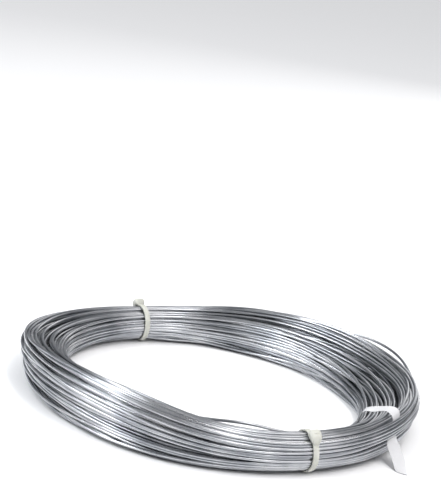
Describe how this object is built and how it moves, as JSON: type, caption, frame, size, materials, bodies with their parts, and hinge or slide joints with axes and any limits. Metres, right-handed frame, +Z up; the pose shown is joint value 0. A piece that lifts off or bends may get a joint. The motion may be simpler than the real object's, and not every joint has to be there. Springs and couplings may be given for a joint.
{
  "type": "coil of galvanised steel wire",
  "caption": "Ring-shaped coil of round galvanised steel wire lying flat, pulled together by nylon cable ties, with a blank paper tag looped over it.",
  "frame": {"origin": "on the coil's axis, at floor level", "axes": "+Z up along the coil's axis; the two cable ties lie on the Y axis, with -Y the front tie and the tag just to its +X side"},
  "size_m": [0.282, 0.2828, 0.0332],
  "materials": {
    "zinc_wire": "bright drawn galvanised, satin",
    "nylon": "milky natural nylon",
    "tag_paper": "smooth white paper strip"
  },
  "bodies": {
    "root": {"wire_coil": "zinc_wire", "cable_tie_front": "nylon", "cable_tie_back": "nylon", "size_tag": "tag_paper"}
  },
  "joints": []
}
